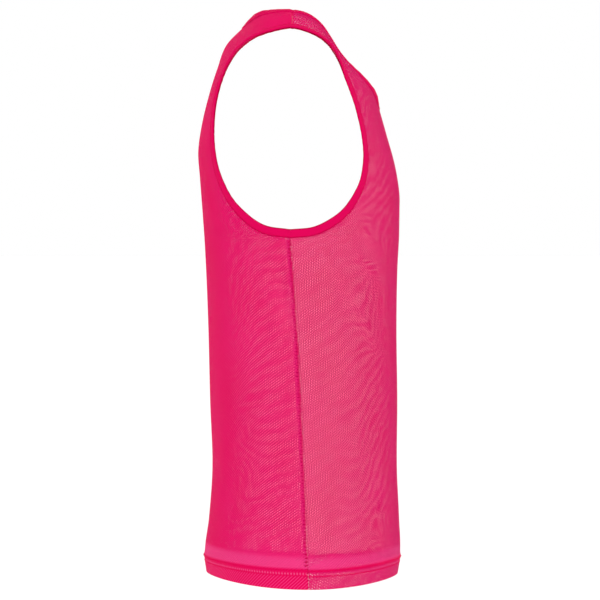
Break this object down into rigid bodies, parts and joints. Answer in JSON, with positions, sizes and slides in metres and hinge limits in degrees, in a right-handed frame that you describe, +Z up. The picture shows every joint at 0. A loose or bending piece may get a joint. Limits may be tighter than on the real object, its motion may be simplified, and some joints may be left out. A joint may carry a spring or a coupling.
{
  "type": "sleeveless mesh training bib",
  "caption": "Hollow sleeveless mesh bib in its worn form, with a scooped neck, deep armholes, bound edges and a turned-up hem.",
  "frame": {"origin": "midway between the two shoulder seams, half way along each strap's width, where the wearer's shoulders carry the bib", "axes": "+Z up, the front faces -Y, the wearer's left side is +X"},
  "size_m": [0.4263, 0.244, 0.6886],
  "materials": {
    "mesh": "bright pink warp-knit polyester net, slightly see-through",
    "binding": "dense deep pink knit strip, folded double"
  },
  "bodies": {
    "root": {"front": "mesh", "back": "mesh", "neck_binding": "binding", "armhole_binding_right": "binding", "armhole_binding_left": "binding"}
  },
  "joints": []
}
